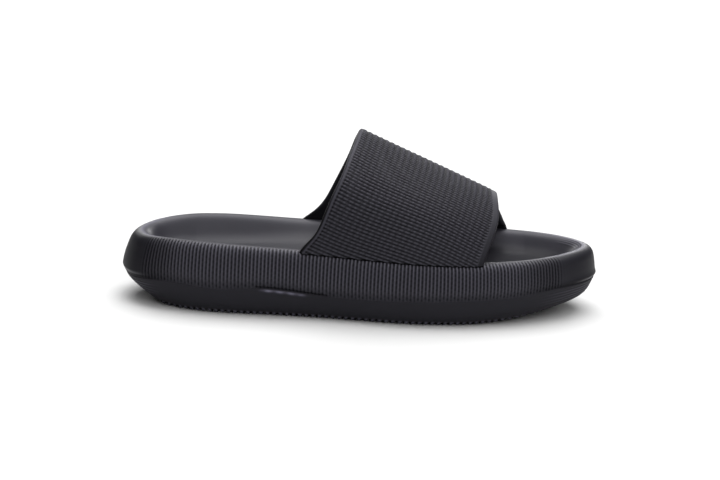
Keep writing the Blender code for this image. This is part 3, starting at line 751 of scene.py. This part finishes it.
# Painted light and shade on the strap: painted highlights on the weave's ribs and the rear lip, painted shade
# between the ribs, in the line behind the lip and on the edge's end face low down, the hem painted darker low
# down and lighter higher up, a painted shadow line where the feet meet the rim, and painted shade on the
# inside
LIP_MIDDLE, LIP_LINE, REAR_LIP_HIGHLIGHT = 0.0016, 0.0006, -0.6
BEHIND_LIP, BEHIND_LIP_LINE, BEHIND_LIP_SHADE, BEHIND_LIP_TOP = 0.0009, 0.0004, 0.5, (0.3, 0.4)
END_FACE, END_FACE_SHADE, END_FACE_TOP = 0.0010, 1.2, (0.25, 0.35)
HEM_SHADE, HEM_HIGHLIGHT_ON_TOP, HEM_FADE = 0.55, -0.80, 0.0010
FOOT_LINE, FOOT_LINE_FADE, FOOT_LINE_SHADOW = 0.012, 0.008, 1.0
INSIDE_SHADE = 0.5

up_share = from_foot / (STRAP_COLUMNS / 2)


def low_down(top, fade):
    """1 by the strap's feet, fading out above a share of the way up to the ridge."""
    return 1.0 - eased((up_share - top) / fade)


# Painted highlights on the weave's ribs and painted shade between them
tone = (1.0 - 2.0 * height) * woven
# Painted highlight along the rear lip
tone += REAR_LIP_HIGHLIGHT * stripe(from_rear, LIP_MIDDLE, LIP_LINE)
# The hem is painted darker low down and gets a painted highlight higher up
tone += eased((HEM_WIDTH - from_front) / HEM_FADE) * (HEM_SHADE + HEM_HIGHLIGHT_ON_TOP * up_share)
# Painted shade in a line behind the rear lip and on the edge's end face, low down
behind_lip = stripe(from_rear, LIP_WIDTH + BEHIND_LIP, BEHIND_LIP_LINE)
end_face = eased((END_FACE - from_rear) / EDGE_FADE)
tone += BEHIND_LIP_SHADE * behind_lip * low_down(*BEHIND_LIP_TOP)
tone += END_FACE_SHADE * end_face * low_down(*END_FACE_TOP)
# Painted shadow line where the strap's feet meet the rim
tone += FOOT_LINE_SHADOW * eased((FOOT_LINE - up_share) / FOOT_LINE_FADE)
# Painted shade over the strap's inside
tone = np.concatenate([tone, np.full((len(inner_rows), STRAP_COLUMNS + 1), INSIDE_SHADE)]).T

strap, row, column = new_band("strap_arch", around_strap)
store_tone(strap, tone[row, column])
close_up(strap)
strap.data.materials.append(foam_material(
    "strap_foam", (0.0172, 0.0166, 0.0216), roughness=0.60, gloss=0.20, crest=2.5, painted_shade_factor=0.0))
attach(strap, "root")
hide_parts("strap")

# Studio
# A plain pale floor that fills the frame, under two wide soft suns: one above and a little
# behind, for the floor and the footbed, and one in front, for the ribbed side. Two low lamps
# behind the shoe pick out the rims at the heel and the toe.
FLOOR_SIZE, FLOOR_GREY, SKY_STRENGTH = 12.0, 0.5, 0.10
bpy.ops.mesh.primitive_plane_add(size=FLOOR_SIZE, location=(0.0, 2.0, 0.0))
floor = bpy.context.object
floor.name = "floor"
pale = bpy.data.materials.new("pale_floor")
pale.use_nodes = True
paint = pale.node_tree.nodes["Principled BSDF"]
paint.inputs["Base Color"].default_value = (FLOOR_GREY, FLOOR_GREY, FLOOR_GREY, 1.0)
paint.inputs["Roughness"].default_value = 1.0
paint.inputs["Specular IOR Level"].default_value = 0.0
floor.data.materials.append(pale)

world = bpy.data.worlds.new("studio")
world.use_nodes = True
world.node_tree.nodes["Background"].inputs["Color"].default_value = (1.0, 1.0, 1.0, 1.0)
world.node_tree.nodes["Background"].inputs["Strength"].default_value = SKY_STRENGTH
bpy.context.scene.world = world
bpy.context.scene.view_settings.view_transform = "Standard"


def hang(lamp, place, target):
    """Puts a light at a place, turned to its target."""
    holder = bpy.data.objects.new(lamp.name, lamp)
    holder.location = place
    holder.rotation_euler = (Vector(place) - Vector(target)).to_track_quat("Z", "Y").to_euler()
    bpy.context.scene.collection.objects.link(holder)


for name, place, spread, strength in (
    ("above", (0.05, 0.34, 1.0), 60.0, 5.3),
    ("in_front", (0.35, -0.80, 0.90), 70.0, 2.2),
):
    sun = bpy.data.lights.new(name, "SUN")
    sun.angle = math.radians(spread)
    sun.energy = strength
    hang(sun, place, target=(0.0, 0.0, 0.0))
LOW_LAMP_SIZE = 0.35, 0.20
for name, place, power in (
    ("behind_heel", (-0.50, 1.15, 0.38), 2.4),
    ("behind_toe", (0.35, 1.20, 0.36), 2.8),
):
    lamp = bpy.data.lights.new(name, "AREA")
    lamp.shape = "RECTANGLE"
    lamp.size, lamp.size_y = LOW_LAMP_SIZE
    lamp.energy = power
    hang(lamp, place, target=(0.0, 0.0, 0.04))

# The camera looks square at the little-toe side, from a little above, rolled as the shot is
TARGET = Vector((-0.0004, 0.0, 0.0369))
DISTANCE, ELEVATION, ROLL = 1.4, math.radians(14.3), math.radians(2.2)
FOCAL_PIXELS, FRAME_PIXELS, SENSOR_WIDTH = 2402.0, 720.0, 36.0
back = Vector((0.0, -math.cos(ELEVATION), math.sin(ELEVATION)))
level = Vector((1.0, 0.0, 0.0))
upright = back.cross(level)
right = level * math.cos(ROLL) + upright * math.sin(ROLL)
up = upright * math.cos(ROLL) - level * math.sin(ROLL)
shot = bpy.data.cameras.new("camera")
shot.sensor_width = SENSOR_WIDTH
shot.lens = FOCAL_PIXELS / FRAME_PIXELS * SENSOR_WIDTH
camera = bpy.data.objects.new("camera", shot)
turned = Matrix((right, up, back)).transposed().to_4x4()
camera.matrix_world = Matrix.Translation(TARGET + back * DISTANCE) @ turned
bpy.context.scene.collection.objects.link(camera)
bpy.context.scene.camera = camera
